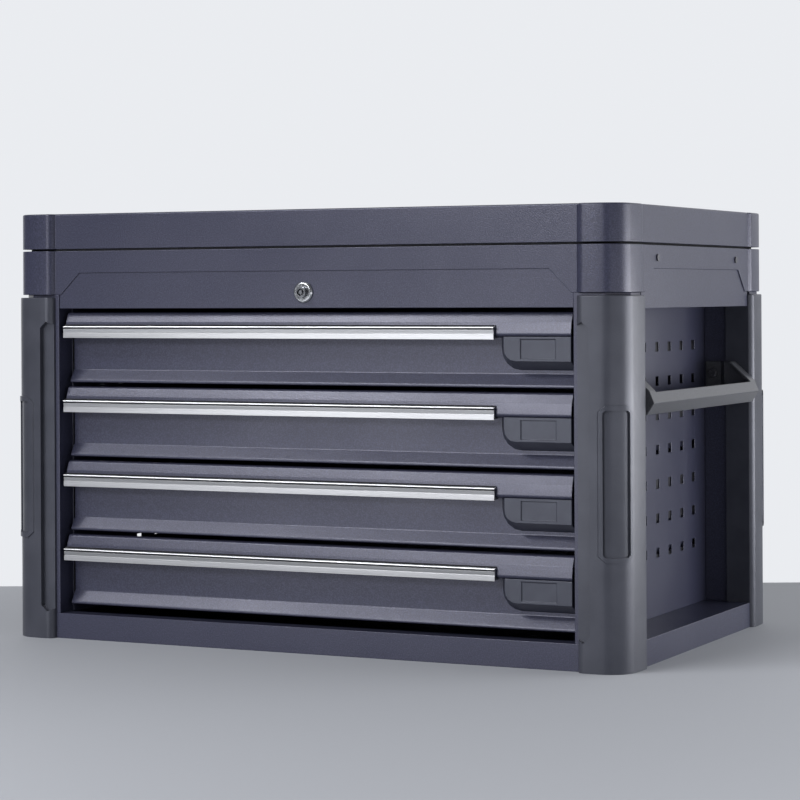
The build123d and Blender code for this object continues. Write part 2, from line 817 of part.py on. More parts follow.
def finger_tip(number):
    """Height of a finger's tip at rest, just under the catch of its drawer."""
    return grip_bottom(number) + box_rise - drawer_sheet - lock_catch_gap


def finger_leg_top(number):
    """Height of the leg that carries a finger: it stays below the catch when the bar is lifted."""
    return finger_tip(number) - lock_travel() - lock_catch_gap / 2


def lock_bar():
    """The upright bar behind the drawers: one finger for each drawer and a slot for the crank pin."""
    y = back - lock_bar_from_back
    half = lock_bar_width / 2
    pin_x, pin_z = crank_pin_place()
    top = pin_z + crank_pin_radius + lock_slot_clear + lock_bar_thickness * 2
    bottom = grip_bottom(drawer_count) - box_drop
    bar = block(-half, half, y, y + lock_bar_thickness, bottom, top)
    slot_half = lock_slot_length / 2
    slot = block(pin_x - slot_half, pin_x + slot_half / 2, y, y + lock_bar_thickness,
                 pin_z - crank_pin_radius - lock_slot_clear, pin_z + crank_pin_radius + lock_slot_clear)
    bar = bar - slot
    finger_half = lock_finger_width / 2
    for number in range(1, drawer_count + 1):
        leg_top = finger_leg_top(number)
        finger = block(-finger_half, finger_half, y - lock_finger_reach, y,
                       leg_top - lock_bar_thickness, leg_top)
        prong = block(-finger_half, finger_half, y - lock_finger_reach,
                      y - lock_finger_reach + lock_bar_thickness, leg_top - lock_bar_thickness,
                      finger_tip(number))
        bar = bar + finger + prong
    return bar


def drawer_front(base):
    """The rolled drawer front: a crest, a nose to pull on, a set-back face and a flared lower edge."""
    outline = [
        (box_front, base + crest_rise - crest_back_drop - drawer_sheet),
        (box_front, base + crest_rise),
        (front + crest_set_back, base + crest_rise),
        (front + nose_set_back, base + nose_rise),
        (front + nose_set_back, base + nose_bottom_rise),
        (front + face_set_back, base + nose_bottom_rise),
        (front + face_set_back, base - face_drop),
        (front + hem_set_back, base - hem_drop),
        (front + hem_set_back, base - hem_end_drop),
        (front + hem_set_back + hem_return, base - hem_end_drop),
    ]
    return bar_yz(fold_section(outline, drawer_sheet), -front_half, front_half)


def drawer_box(base):
    """The open drawer body with hems along the top and a slotted catch on its back wall."""
    low, high = base - box_drop, base + box_rise
    s = drawer_sheet
    outer = block(-drawer_half, drawer_half, box_front, box_back, low, high)
    inner = block(-drawer_half + s, drawer_half - s, box_front + s, box_back - s, low + s, high - s)
    mouth = block(-drawer_half + box_hem, drawer_half - box_hem, box_front + box_hem, box_back - box_hem,
                  high - s * 2, high)
    finger_back = back - lock_bar_from_back - lock_finger_reach + lock_bar_thickness
    finger_front = finger_back - lock_bar_thickness
    catch_half = lock_catch_reach
    hole_half = lock_finger_width / 2 + lock_catch_hole
    catch = block(-catch_half, catch_half, box_back - box_hem, finger_back + lock_catch_hole * 2,
                  high - s, high)
    hole = block(-hole_half, hole_half, finger_front - lock_catch_hole, finger_back + lock_catch_hole,
                 high - s, high)
    return outer - inner - mouth + catch - hole


def grip_strip(base):
    """The extruded grip strip: a flared foot, a sunk band and a lip, and a hook under the nose."""
    out = front + grip_set_back
    seat = front + nose_set_back
    sunk = out + grip_groove_depth
    lip_start = grip_height - grip_lip
    hook_top = nose_bottom_rise
    band_top = (grip_height - grip_lip - grip_groove) / 2
    section = [
        (out, base), (sunk, base + band_top), (sunk, base + lip_start - grip_groove / 2),
        (out, base + lip_start), (out, base + grip_height),
        (seat, base + grip_height), (seat, base + hook_top),
        (seat + grip_hook, base + hook_top), (seat + grip_hook, base + hook_top - grip_wall),
        (out + grip_wall, base + hook_top - grip_wall), (out + grip_wall, base),
    ]
    return bar_yz(section, -front_half, grip_right_end)


def label_outline(spread, y, base):
    """The corners of the label holder at one depth, wider by a spread towards its foot."""
    left = label_left - spread
    low = base - label_drop - spread
    high = base + nose_bottom_rise
    corner = label_round + spread
    points = [(front_half, low), (front_half, high), (left, high)]
    for step in range(label_round_steps + 1):
        turn = radians(90 * step / label_round_steps)
        points.append((left + corner * (1 - cos(turn)), low + corner * (1 - sin(turn))))
    return [(x, y, z) for x, z in points]


def flat_face(points):
    """A flat face between its corners."""
    return make_face(Polyline(*points, close=True))


def label_holder(base):
    """The moulded label holder under the nose, bevelled down to the drawer face."""
    front_y = front + label_set_back
    seat_y = front + face_set_back
    near = label_outline(0, front_y, base)
    foot = label_outline(label_skirt, seat_y, base)
    faces = [flat_face(near), flat_face(foot)]
    for place in range(len(near)):
        faces.append(flat_face([near[place - 1], near[place], foot[place], foot[place - 1]]))
    solid = Solid(Shell(faces))
    solid = chamfer(solid.edges().group_by(Axis.Y)[-1].sort_by(Axis.Z)[-1:], label_chamfer)
    window_right = label_window_left + label_window_width
    window = block(label_window_left, window_right, front_y, front_y + label_window_depth,
                   base - label_window_drop, base + label_play)
    return solid - window


def slide_side(section_blocks, y_start):
    """Draws slide sections back from their front end; each is (u0, u1, v0, v1) seen from the front."""
    solid = None
    for u0, u1, v0, v1 in section_blocks:
        piece = block(panel_face - u1, panel_face - u0, y_start, y_start + slide_length, v0, v1)
        solid = piece if solid is None else solid + piece
    return solid


def outer_channel(base):
    """The cabinet member of one slide."""
    axis = base - slide_drop
    half = slide_height / 2
    t = slide_sheet
    return slide_side([
        (0, t, axis - half, axis + half),
        (0, slide_lip, axis + half - t, axis + half),
        (0, slide_lip, axis - half, axis - half + t),
    ], front + slide_set_back)


def middle_channel(base):
    """The middle member of one slide, with its two rows of balls on each flange drawn as bars."""
    axis = base - slide_drop
    t = slide_sheet
    y = front + slide_set_back
    half = slide_height / 2 - t - ball_room
    solid = slide_side([
        (middle_web_out, middle_web_out + t, axis - half, axis + half),
        (middle_web_out, slide_thickness - t, axis + half - t, axis + half),
        (middle_web_out, slide_thickness - t, axis - half, axis - half + t),
    ], y)
    bead = (ball_room - running_gap) / 2
    bead_x = panel_face - (middle_web_out + slide_thickness) / 2
    for row in (half + bead, half - t - bead):
        for upright in (axis + row, axis - row):
            solid = solid + block(bead_x - bead, bead_x + bead, y, y + slide_length,
                                  upright - bead, upright + bead)
    return solid


def inner_channel(base):
    """The drawer member of one slide."""
    axis = base - slide_drop
    t = slide_sheet
    half = slide_height / 2 - t * 2 - ball_room * 2
    return slide_side([
        (slide_thickness - t, slide_thickness, axis - half, axis + half),
        (slide_thickness - inner_lip + t, slide_thickness, axis + half - t, axis + half),
        (slide_thickness - inner_lip + t, slide_thickness, axis - half, axis - half + t),
    ], front + slide_set_back)


def handle():
    """The right handle: one pressed sheet with a hollow grip, two arms and bolted feet."""
    arm_out = front + side_reach
    arm_in = arm_out + handle_sheet
    foot_out = post_inner
    foot_in = foot_out + handle_sheet
    foot_x = opening_half + handle_foot_start
    bend_end = side - bumper_return - handle_sheet / 2
    bend_start = bend_end - (arm_out - foot_out)
    far = handle_nose_reach + handle_sheet
    plan = make_face(Polyline(
        (foot_x, foot_out), (bend_start, foot_out), (bend_end, arm_out), (far, arm_out),
        (far, arm_in), (bend_end, arm_in), (bend_start, foot_in), (foot_x, foot_in), close=True))
    sheet_prism = slab(plan, handle_bottom - handle_sheet, handle_top + handle_sheet)
    shape = [
        (foot_x, handle_top), (handle_flat_reach, handle_top),
        (handle_slope_reach, handle_slope_height), (handle_nose_reach, handle_nose_height),
        (handle_bottom_reach, handle_bottom), (handle_flat_reach, handle_bottom),
        (foot_x, handle_nose_height),
    ]
    arm = plate_xz(shape, foot_out, arm_in) & sheet_prism
    line = [
        (handle_flat_reach - handle_sheet, handle_top), (handle_flat_reach, handle_top),
        (handle_slope_reach, handle_slope_height), (handle_nose_reach, handle_nose_height),
        (handle_bottom_reach, handle_bottom), (handle_bottom_reach - handle_lip / 2, handle_bottom),
    ]
    skin = plate_xz(fold_section(line, -handle_sheet), arm_out, -arm_out)
    window_end = -arm_out - handle_lip
    window = block(0, handle_nose_reach - handle_sheet / 2, -window_end, window_end,
                   handle_slope_height - handle_sheet / 2, handle_top + handle_sheet)
    return skin - window + arm + mirror(arm, about=Plane.XZ)


def pan_screw(place):
    """A socket screw on its washer, its head towards the back."""
    x, y, z = place
    seat = y + washer_thickness
    top = seat + screw_head_height
    washer = prism(place, (x, seat, z), washer_radius, few_sides)
    head = prism(place, (x, top, z), screw_head_radius, few_sides)
    head = chamfer(head.faces().sort_by(Axis.Y)[-1].edges(), head_edge)
    socket = prism((x, top - socket_depth, z), (x, top, z), socket_radius, socket_sides)
    return washer + head - socket


def handle_screws():
    """The four screws that hold the two handles to the posts."""
    x = opening_half + handle_screw_out
    y = post_inner + handle_sheet
    screw = pan_screw((x, y, handle_screw_height))
    pair = screw + mirror(screw, about=Plane.XZ)
    return pair + mirror(pair, about=Plane.YZ)


def collar_screws():
    """The four small screws through the sides of the collar."""
    start = (side, -collar_screw_reach, collar_screw_height)
    end = (side + collar_screw_head, -collar_screw_reach, collar_screw_height)
    screw = prism(start, end, collar_screw_radius, few_sides)
    pair = screw + mirror(screw, about=Plane.XZ)
    return pair + mirror(pair, about=Plane.YZ)


def write(name, shape):
    """Writes one sub-part as a file under its own name."""
    solids = shape.solids()
    whole = solids[0] if len(solids) == 1 else Compound(children=list(solids))
    whole.label = name
    export_step(whole, f"parts/{name}.step")


def mirror_x(shape):
    return mirror(shape, about=Plane.YZ)


def mirror_y(shape):
    return mirror(shape, about=Plane.XZ)


def build():
    os.makedirs("parts", exist_ok=True)
    write("base_pan", base_pan())
    write("rear_panel", rear_panel())
    write("front_header", front_header())
    write("collar", collar())
    write("top_tray", top_tray())
    panel = side_panel()
    write("side_panel_right", panel)
    write("side_panel_left", mirror_x(panel))
    for name, piece in (("corner_post", corner_post()), ("corner_bumper", corner_bumper())):
        write(f"{name}_front_right", piece)
        write(f"{name}_front_left", mirror_x(piece))
        write(f"{name}_rear_right", mirror_y(piece))
        write(f"{name}_rear_left", mirror_x(mirror_y(piece)))
    grip = handle()
    write("side_handle_right", grip)
    write("side_handle_left", mirror_x(grip))
    write("handle_screws", handle_screws())
    write("collar_screws", collar_screws())
    write("hinge_leaf_collar", hinge_leaf_solid(-1, 0))
    write("hinge_leaf_lid", hinge_leaf_solid(1, 1))
    write("hinge_pin", hinge_pin())
    write("lid", lid())
    write("lid_catch", lid_catch())
    write("lid_strut_studs", both_sides(strut_head_stud()))
    write("tray_strut_studs", both_sides(strut_foot_stud()))
    tube, piston = strut_tube(), strut_rod()
    write("strut_tube_right", tube)
    write("strut_tube_left", mirror_x(tube))
    write("strut_rod_right", piston)
    write("strut_rod_left", mirror_x(piston))
    write("lock_housing", lock_housing())
    write("lock_barrel", lock_barrel())
    write("lock_bar", lock_bar())
    bases = [grip_bottom(number) for number in range(1, drawer_count + 1)]
    channels = Compound(children=[outer_channel(base).solid() for base in bases])
    write("cabinet_slides_right", channels)
    write("cabinet_slides_left", mirror_x(channels))
    for number, base in enumerate(bases, start=1):
        write(f"drawer_{number}_front", drawer_front(base))
        write(f"drawer_{number}_box", drawer_box(base))
        write(f"drawer_{number}_grip_strip", grip_strip(base))
        write(f"drawer_{number}_label_holder", label_holder(base))
        write(f"drawer_{number}_inner_slides", both_sides(inner_channel(base)))
        write(f"drawer_{number}_middle_slides", both_sides(middle_channel(base)))


build()
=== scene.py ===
from math import cos, hypot, pi, radians, sin, tan

import bmesh
import bpy
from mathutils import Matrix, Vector


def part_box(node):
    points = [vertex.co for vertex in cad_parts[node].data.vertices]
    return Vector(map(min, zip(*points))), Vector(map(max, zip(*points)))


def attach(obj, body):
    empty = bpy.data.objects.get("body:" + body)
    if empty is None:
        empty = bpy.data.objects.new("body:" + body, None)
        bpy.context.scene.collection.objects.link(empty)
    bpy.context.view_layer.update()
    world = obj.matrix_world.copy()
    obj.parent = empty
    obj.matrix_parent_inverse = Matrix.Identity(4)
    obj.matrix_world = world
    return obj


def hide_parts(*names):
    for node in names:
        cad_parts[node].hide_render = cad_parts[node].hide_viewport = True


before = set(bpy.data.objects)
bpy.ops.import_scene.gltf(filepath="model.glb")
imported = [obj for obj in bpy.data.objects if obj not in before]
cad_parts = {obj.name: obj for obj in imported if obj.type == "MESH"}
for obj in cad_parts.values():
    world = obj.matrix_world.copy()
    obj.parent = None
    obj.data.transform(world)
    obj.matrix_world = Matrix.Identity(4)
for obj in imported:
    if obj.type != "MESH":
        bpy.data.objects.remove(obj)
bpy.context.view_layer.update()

# Base pan
# The folded steel bottom of the chest: a floor, four low rails and ledges for the posts.
# Like all its sheet metal it is sprayed with a grained anthracite powder coat, baked on.
coat_colour = (0.0210, 0.0222, 0.0385)
coat_peak = (0.040, 0.042, 0.073)
coat_sheen = (0.88, 0.88, 1.0)
coat_grain = 780.0
coat_patches = 9.0
coat_depth = 0.00013
peak_start = 0.42
peak_end = 0.68
noise_start = 0.35
noise_end = 0.65
weld_distance = 0.00001
flat_angle = 0.5
pan_radius = 0.0011


def new_material(name, colour, roughness, metallic=0.0, specular=0.5, sheen=(1.0, 1.0, 1.0)):
    """A material whose plain values sit on the shader's own sockets; sheen tints its reflections."""
    material = bpy.data.materials.new(name)
    material.use_nodes = True
    shader = material.node_tree.nodes["Principled BSDF"]
    shader.inputs["Base Color"].default_value = (*colour, 1.0)
    shader.inputs["Roughness"].default_value = roughness
    shader.inputs["Metallic"].default_value = metallic
    shader.inputs["Specular IOR Level"].default_value = specular
    shader.inputs["Specular Tint"].default_value = (*sheen, 1.0)
    return material


def pattern(material, per_metre, stretch=(1.0, 1.0, 1.0), detail=2.0):
    """Noise that is fixed to the piece, with so many features to the metre; returns its height."""
    tree = material.node_tree
    place = tree.nodes.new("ShaderNodeTexCoord")
    scaled = tree.nodes.new("ShaderNodeMapping")
    scaled.inputs["Scale"].default_value = stretch
    noise = tree.nodes.new("ShaderNodeTexNoise")
    noise.inputs["Scale"].default_value = per_metre
    noise.inputs["Detail"].default_value = detail
    tree.links.new(place.outputs["Object"], scaled.inputs["Vector"])
    tree.links.new(scaled.outputs["Vector"], noise.inputs["Vector"])
    return noise.outputs["Fac"]


def spread(material, height, low, high, start, end):
    """The height between start and end, brought between two other numbers."""
    tree = material.node_tree
    ramp = tree.nodes.new("ShaderNodeMapRange")
    ramp.inputs["From Min"].default_value = start
    ramp.inputs["From Max"].default_value = end
    ramp.inputs["To Min"].default_value = low
    ramp.inputs["To Max"].default_value = high
    tree.links.new(height, ramp.inputs["Value"])
    return ramp.outputs["Result"]


def two_colours(material, height, low, high, start=noise_start, end=noise_end):
    """Mixes the surface colour between two colours by the height."""
    tree = material.node_tree
    mix = tree.nodes.new("ShaderNodeMix")
    mix.data_type = "RGBA"
    mix.inputs["A"].default_value = (*low, 1.0)
    mix.inputs["B"].default_value = (*high, 1.0)
    tree.links.new(spread(material, height, 0.0, 1.0, start, end), mix.inputs["Factor"])
    tree.links.new(mix.outputs["Result"], tree.nodes["Principled BSDF"].inputs["Base Color"])


def rough_between(material, height, low, high):
    """Lets the roughness run between two values by the height."""
    tree = material.node_tree
    tree.links.new(spread(material, height, low, high, noise_start, noise_end),
                   tree.nodes["Principled BSDF"].inputs["Roughness"])


def relief(material, height, depth, strength=1.0):
    """Raises the surface by the height."""
    tree = material.node_tree
    bump = tree.nodes.new("ShaderNodeBump")
    bump.inputs["Strength"].default_value = strength
    bump.inputs["Distance"].default_value = depth
    tree.links.new(height, bump.inputs["Height"])
    tree.links.new(bump.outputs["Normal"], tree.nodes["Principled BSDF"].inputs["Normal"])


def finish(material, *names):
    """Gives CAD nodes their material."""
    for name in names:
        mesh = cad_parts[name].data
        mesh.materials.clear()
        mesh.materials.append(material)


def round_edges(name, radius, chosen=None, segments=3, angle=30.0, last=True):
    """Rounds a node's edges; with chosen, only those between the corners that it picks."""
    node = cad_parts[name]
    if "joined" not in node.modifiers:
        joined = node.modifiers.new("joined", "WELD")
        joined.merge_threshold = weld_distance
        flat = node.modifiers.new("flat", "DECIMATE")
        flat.decimate_type = "DISSOLVE"
        flat.angle_limit = radians(flat_angle)
    rounded = node.modifiers.new("rounded", "BEVEL")
    rounded.width = radius
    rounded.segments = segments
    rounded.limit_method = "ANGLE"
    rounded.angle_limit = radians(angle)
    if chosen is not None:
        picked = node.vertex_groups.new(name="rounded")
        places = [corner.index for corner in node.data.vertices if chosen(corner.co)]
        picked.add(places, 1.0, "REPLACE")
        rounded.limit_method = "VGROUP"
        rounded.vertex_group = picked.name
    if last:
        node.modifiers.new("shaded", "WEIGHTED_NORMAL").keep_sharp = True


powder_coat = new_material("powder_coat", coat_colour, roughness=0.30, sheen=coat_sheen)
coat_height = pattern(powder_coat, coat_grain, detail=3.0)
two_colours(powder_coat, coat_height, coat_colour, coat_peak, peak_start, peak_end)
rough_between(powder_coat, pattern(powder_coat, coat_patches), low=0.28, high=0.33)
relief(powder_coat, coat_height, coat_depth)

finish(powder_coat, "base_pan")
round_edges("base_pan", pan_radius)

# Back sheet
# One sheet welded between the rear posts, with the cages and the strap of the lock bar inside.
# It has the same powder coat as the rest.
back_radius = 0.0004
finish(powder_coat, "rear_panel")
round_edges("rear_panel", back_radius)

# Corner posts
# Four closed folded steel sections that stand on the base and carry the collar.
# Only a strip beside the drawers shows between the bumpers and the opening.
corner_places = ("front_left", "front_right", "rear_left", "rear_right")
post_radius = 0.0006
for place in corner_places:
    finish(powder_coat, f"corner_post_{place}")
    round_edges(f"corner_post_{place}", post_radius)

# Side sheets
# Perforated panels with a grid of square punched holes, folded out and up behind the collar.
# They are spot-welded to the posts.
side_names = ("side_panel_left", "side_panel_right")
side_radius = 0.0003
for side_name in side_names:
    finish(powder_coat, side_name)
    round_edges(side_name, side_radius, segments=2)

# Corner bumpers
# Hard mouldings over the posts with a long pocket and a framed bare plate, clipped on.
# They are matt black-grey plastic with a fine moulded grain, and rounded most at the top.
bumper_colour = (0.034, 0.036, 0.046)
bumper_worn = (0.044, 0.046, 0.058)
plastic_sheen = (0.88, 0.90, 1.0)
bumper_grain = 1100.0
bumper_depth = 0.00010
bumper_top_radius = 0.0025
bumper_radius = 0.0008
same_level = 0.0001

bumper_plastic = new_material("bumper_plastic", bumper_colour, roughness=0.34, specular=0.42,
                              sheen=plastic_sheen)
bumper_height = pattern(bumper_plastic, bumper_grain)
two_colours(bumper_plastic, pattern(bumper_plastic, 30.0, detail=5.0), bumper_colour, bumper_worn)
rough_between(bumper_plastic, pattern(bumper_plastic, 14.0), low=0.31, high=0.37)
relief(bumper_plastic, bumper_height, bumper_depth)

for place in corner_places:
    bumper_name = f"corner_bumper_{place}"
    finish(bumper_plastic, bumper_name)
    bumper_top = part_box(bumper_name)[1].z
    round_edges(bumper_name, bumper_top_radius, lambda co: co.z > bumper_top - same_level, last=False)
    round_edges(bumper_name, bumper_radius)

# Fascia, collar and tray
# The fascia over the drawers and the band round the top are folded sheet with bulged corners.
# The band has sloped cut-outs and sits on the posts; the shallow tray hangs inside it.
fascia_radius = 0.0011
collar_radius = 0.0010
tray_radius = 0.0005
finish(powder_coat, "front_header", "collar", "top_tray")
round_edges("front_header", fascia_radius)
round_edges("collar", collar_radius)
round_edges("top_tray", tray_radius)

# Long hinge
# Two rolled leaves and a pin along the back, fixed to the collar and to the lid's rear edge.
# They are zinc-plated steel, like the studs that the gas struts turn on.
plated_colour = (0.55, 0.56, 0.57)
plated_dark = (0.46, 0.47, 0.48)
plated_light = (0.62, 0.62, 0.61)
plated_depth = 0.00004
plated_steel = new_material("plated_steel", plated_colour, roughness=0.32, metallic=1.0)
plated_height = pattern(plated_steel, 120.0, detail=5.0)
two_colours(plated_steel, plated_height, plated_dark, plated_light)
rough_between(plated_steel, plated_height, low=0.26, high=0.42)
relief(plated_steel, pattern(plated_steel, 700.0), plated_depth)
finish(plated_steel, "hinge_leaf_collar", "hinge_leaf_lid", "hinge_pin")
finish(plated_steel, "lid_strut_studs", "tray_strut_studs")

# Lid
# A deep pressed steel pan with the same bulged corners as the collar, in the powder coat.
# Its lower edge is folded in, and a catch plate for the lock is fixed inside.
lid_top_radius = 0.0020
lid_radius = 0.0007
lid_low, lid_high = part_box("lid")
finish(powder_coat, "lid", "lid_catch")
round_edges("lid", lid_top_radius, lambda co: co.z > lid_high.z - same_level, last=False)
round_edges("lid", lid_radius)

# Lid seal
# A strip of near-black foam rubber glued round the collar's rim, just under the closed lid.
# It keeps dust and light out of the gap, and its near-black colour is partly painted shade for the dark
# gap.
# Partly painted shade: the seal's near-black makes the gap under the lid read dark.
seal_black_and_shade = (0.012, 0.012, 0.014)
seal_depth = 0.00015
seal_set_in = 0.0085
seal_width = 0.0050
seal_corner = 0.022
seal_turn_steps = 8
seal_lift = 0.0001
seal_clearance = 0.0003
seal_rubber = new_material("seal_rubber", seal_black_and_shade, roughness=0.8, specular=0.25)
relief(seal_rubber, pattern(seal_rubber, 1800.0, detail=3.0), seal_depth)
rough_between(seal_rubber, pattern(seal_rubber, 300.0), low=0.7, high=0.9)


def rounded_ring(low, high, inset, radius):
    """The points of a rectangle with round corners, set in from two corners."""
    points = []
    for quarter, (side_x, side_y) in enumerate(((1, 1), (-1, 1), (-1, -1), (1, -1))):
        x = (high.x - inset - radius) if side_x > 0 else (low.x + inset + radius)
        y = (high.y - inset - radius) if side_y > 0 else (low.y + inset + radius)
        for step in range(seal_turn_steps + 1):
            turn = (quarter + step / seal_turn_steps) * pi / 2
            points.append((x + radius * cos(turn), y + radius * sin(turn)))
    return points


rim_low, rim_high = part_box("collar")
seal_bottom = rim_high.z + seal_lift
seal_top = lid_low.z - seal_clearance
seal_outer = rounded_ring(rim_low, rim_high, seal_set_in, seal_corner)
seal_inner = rounded_ring(rim_low, rim_high, seal_set_in + seal_width, seal_corner - seal_width)
seal_rings = [
    (seal_outer, seal_bottom), (seal_outer, seal_top),
    (seal_inner, seal_top), (seal_inner, seal_bottom),
]
seal_count = len(seal_outer)
seal_faces = []
for ring in range(len(seal_rings)):
    start = ring * seal_count
    end = (ring + 1) % len(seal_rings) * seal_count
    for place in range(seal_count):
        after = (place + 1) % seal_count
        seal_faces.append((start + place, start + after, end + after, end + place))
seal_mesh = bpy.data.meshes.new("lid_seal")
seal_mesh.from_pydata([(x, y, z) for points, z in seal_rings for x, y in points], [], seal_faces)
seal_mesh.materials.append(seal_rubber)
lid_seal = bpy.data.objects.new("lid_seal", seal_mesh)
bpy.context.scene.collection.objects.link(lid_seal)
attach(lid_seal, "cabinet")

# Gas struts
# Two black painted cylinders with chromed rods between the tray and the lid.
# They turn on short studs.
strut_colour = (0.012, 0.012, 0.013)
strut_depth = 0.00003
rod_colour = (0.80, 0.81, 0.82)
strut_paint = new_material("strut_paint", strut_colour, roughness=0.32)
relief(strut_paint, pattern(strut_paint, 500.0), strut_depth)
rough_between(strut_paint, pattern(strut_paint, 40.0), low=0.26, high=0.38)
strut_chrome = new_material("strut_chrome", rod_colour, roughness=0.12, metallic=1.0)
rough_between(strut_chrome, pattern(strut_chrome, 60.0, stretch=(1.0, 6.0, 1.0)), low=0.08, high=0.18)
finish(strut_paint, "strut_tube_left", "strut_tube_right")
finish(strut_chrome, "strut_rod_left", "strut_rod_right")

# Lock
# A tubular key lock: a chromed ring and barrel on the fascia and a long shaft to the back.
# The shaft's crank lifts a pressed bar behind the drawers.
ring_colour = (0.42, 0.43, 0.45)
ring_depth = 0.00002
ring_radius = 0.0004
barrel_colour = (0.20, 0.205, 0.22)
barrel_depth = 0.00003
barrel_radius = 0.0003
lock_chrome = new_material("lock_chrome", ring_colour, roughness=0.16, metallic=1.0)
rough_between(lock_chrome, pattern(lock_chrome, 300.0, detail=4.0), low=0.10, high=0.24)
relief(lock_chrome, pattern(lock_chrome, 900.0), ring_depth)
barrel_chrome = new_material("barrel_chrome", barrel_colour, roughness=0.22, metallic=1.0)
relief(barrel_chrome, pattern(barrel_chrome, 700.0), barrel_depth)
finish(lock_chrome, "lock_housing")
finish(barrel_chrome, "lock_barrel")
round_edges("lock_housing", ring_radius)
round_edges("lock_barrel", barrel_radius)

# Telescopic slides
# Three nested channels on each side of each drawer, cold rolled steel like the lock bar; their
# near-black colour is painted shade for what shows through the perforations.
# The outer channels are welded to the side sheets, the inner ones to the drawer boxes.
drawer_numbers = range(1, 5)
slide_shade_black = (0.016, 0.016, 0.018)
slide_worn = (0.034, 0.034, 0.038)
# The near-black base is painted shade, so that the perforations show dark.
slide_steel = new_material("slide_steel", slide_shade_black, roughness=0.4, metallic=1.0)
slide_height = pattern(slide_steel, 80.0, stretch=(1.0, 0.12, 1.0), detail=5.0)
two_colours(slide_steel, slide_height, slide_shade_black, slide_worn)
rough_between(slide_steel, slide_height, low=0.28, high=0.44)
finish(slide_steel, "cabinet_slides_left", "cabinet_slides_right", "lock_bar")
for number in drawer_numbers:
    finish(slide_steel, f"drawer_{number}_inner_slides", f"drawer_{number}_middle_slides")

# Drawer boxes
# Open steel bodies with hemmed tops, folded from sheet and welded to their fronts.
# They have the same powder coat.
box_radius = 0.0004
for number in drawer_numbers:
    finish(powder_coat, f"drawer_{number}_box")
    round_edges(f"drawer_{number}_box", box_radius)

# Drawer fronts
# One rolled sheet each: a crest, a nose to pull on, a face set back and a flared lower edge.
# The outer radius of its folds is about three times its thickness.
front_sheet = 0.0010
bend_radius = 0.0032
front_outline = [
    (0.0237, 0.0223), (0.0237, 0.0273), (0.0110, 0.0273), (0.0070, 0.0172), (0.0045, 0.0030),
    (0.0227, 0.0030), (0.0227, -0.0345), (0.0150, -0.0459), (0.0150, -0.0484), (0.0198, -0.0484),
]
solid_crest_rise = 0.0265
outline_ahead = 0.0020
leg_share = 0.49
smallest_radius = 0.00001
cut_edge = 0.0002


def rounded_line(points, radii, steps=5, close=False):
    """A line with each inner corner turned into a short arc of its radius."""
    line = [] if close else [points[0]]
    places = range(len(points)) if close else range(1, len(points) - 1)
    for place in places:
        before = Vector(points[place - 1])
        corner = Vector(points[place])
        after = Vector(points[(place + 1) % len(points)])
        inward = (before - corner).normalized()
        outward = (after - corner).normalized()
        half = inward.angle(outward) / 2
        shorter_leg = min((before - corner).length, (after - corner).length)
        reach = min(radii[place] / tan(half), shorter_leg * leg_share)
        radius = reach * tan(half)
        if radius < smallest_radius:
            line.append(tuple(corner))
            continue
        centre = corner + (inward + outward).normalized() * (radius / sin(half))
        start = corner + inward * reach - centre
        end = corner + outward * reach - centre
        sweep = start.angle_signed(end)
        for step in range(steps + 1):
            turn = -sweep * step / steps
            line.append((centre.x + start.x * cos(turn) - start.y * sin(turn),
                         centre.y + start.x * sin(turn) + start.y * cos(turn)))
    if not close:
        line.append(points[-1])
    return line


def sheet_section(points, thickness, radius):
    """The closed section of a folded sheet whose thickness lies to the left of its line."""
    radii = [0.0] * len(points)
    for place in range(1, len(points) - 1):
        in_u, in_v = points[place][0] - points[place - 1][0], points[place][1] - points[place - 1][1]
        out_u, out_v = points[place + 1][0] - points[place][0], points[place + 1][1] - points[place][1]
        radii[place] = radius if in_u * out_v - in_v * out_u > 0 else radius - thickness
    line = rounded_line(points, radii)
    inner = []
    for place, (u, v) in enumerate(line):
        normals = []
        for first in (place - 1, place):
            if 0 <= first < len(line) - 1:
                run_u, run_v = line[first + 1][0] - line[first][0], line[first + 1][1] - line[first][1]
                length = hypot(run_u, run_v)
                normals.append((-run_v / length, run_u / length))
        meeting = 1 + normals[0][0] * normals[-1][0] + normals[0][1] * normals[-1][1]
        inner.append((u + (normals[0][0] + normals[-1][0]) * thickness / meeting,
                      v + (normals[0][1] + normals[-1][1]) * thickness / meeting))
    return line + inner[::-1]


def drawn_bar(name, section, left, right):
    """A section in the side view drawn out along X, with its cut ends eased."""
    mesh = bpy.data.meshes.new(name)
    work = bmesh.new()
    rings = []
    for x in (left, right):
        rings.append([work.verts.new((x, y, z)) for y, z in section])
    count = len(section)
    for place in range(count):
        after = (place + 1) % count
        side_face = work.faces.new((rings[0][place], rings[0][after], rings[1][after], rings[1][place]))
        side_face.smooth = True
    ends = [work.faces.new(rings[0][::-1]), work.faces.new(rings[1])]
    bmesh.ops.recalc_face_normals(work, faces=work.faces)
    rims = [rim for end in ends for rim in end.edges]
    bmesh.ops.bevel(work, geom=rims, offset=cut_edge, segments=1, affect="EDGES", clamp_overlap=True)
    work.to_mesh(mesh)
    work.free()
    piece = bpy.data.objects.new(name, mesh)
    bpy.context.scene.collection.objects.link(piece)
    piece.modifiers.new("shaded", "WEIGHTED_NORMAL").keep_sharp = True
    return piece


front_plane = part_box("drawer_1_grip_strip")[0].y - outline_ahead
for number in drawer_numbers:
    node_name = f"drawer_{number}_front"
    low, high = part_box(node_name)
    base = high.z - solid_crest_rise
    placed = [(front_plane + y, base + z) for y, z in front_outline]
    section = sheet_section(placed, front_sheet, bend_radius)
    rolled = drawn_bar(f"drawer_{number}_rolled_front", section, low.x, high.x)
    rolled.data.materials.append(powder_coat)
    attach(rolled, f"drawer_{number}")
    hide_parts(node_name)
